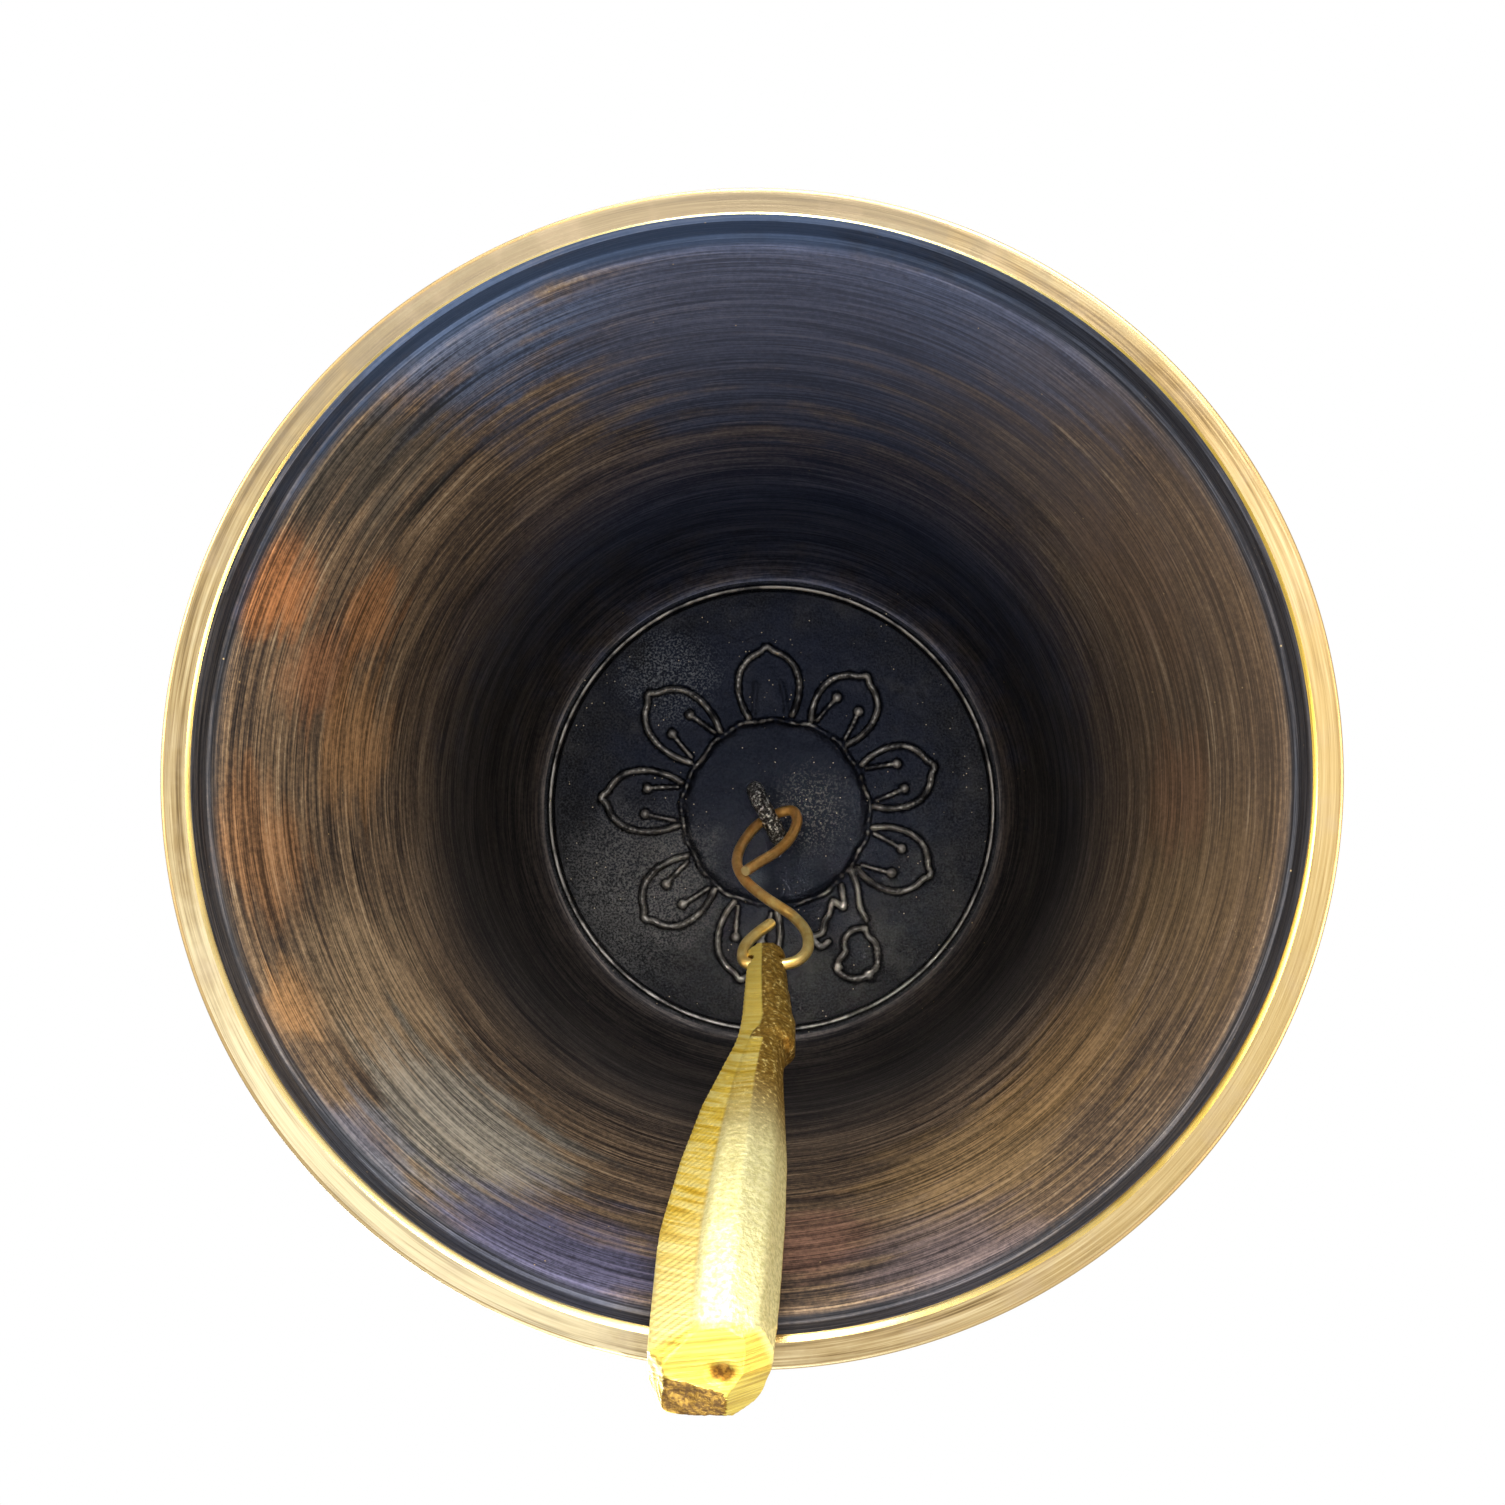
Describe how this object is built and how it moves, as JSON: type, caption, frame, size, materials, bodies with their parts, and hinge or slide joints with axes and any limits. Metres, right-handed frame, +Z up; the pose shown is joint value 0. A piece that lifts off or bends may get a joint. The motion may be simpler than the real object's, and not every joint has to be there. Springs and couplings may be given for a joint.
{
  "type": "hanging temple bell",
  "caption": "Flared hanging bell with a ring at the top and a bottle-shaped clapper hung inside from a staple by a bent wire hook; petal relief under the crown.",
  "frame": {"origin": "top of the inside of the hanging ring, where a ceiling hook bears", "axes": "+Z up along the bell's axis, mouth down; -Y towards the side that the clapper is stored swung to; +X along the axes that the bell, hook and clapper swing about"},
  "size_m": [0.15, 0.1524, 0.1816],
  "materials": {
    "ring_brass": "drawn wire, dull and handled",
    "loop_brass": "cast and turned, antique patina",
    "bell_bronze": "turned, dark antique patina, lip rubbed bright",
    "staple_iron": "rough, as cast in",
    "hook_wire": "drawn wire, browned, bright where rubbed",
    "clapper_brass": "cast, filed bright by hand"
  },
  "bodies": {
    "ring": {"hanging_ring": "ring_brass"},
    "bell": {"bell_shell": "bell_bronze", "crown_loop": "loop_brass", "clapper_staple": "staple_iron"},
    "hook": {"s_hook": "hook_wire"},
    "clapper": {"clapper": "clapper_brass"}
  },
  "joints": [
    {"name": "bell_swing", "type": "hinge", "parent": "ring", "child": "bell", "pos_m": [0, 0, -0.02575], "axis": [1, 0, 0], "range_deg": [-35, 35]},
    {"name": "hook_swing", "type": "hinge", "parent": "bell", "child": "hook", "pos_m": [0.0001, -0.0023, -0.05895], "axis": [1, 0, 0], "range_deg": [0, 50]},
    {"name": "clapper_swing", "type": "hinge", "parent": "hook", "child": "clapper", "pos_m": [0.0001, -0.02651, -0.09924], "axis": [1, 0, 0], "range_deg": [0, 21]}
  ]
}
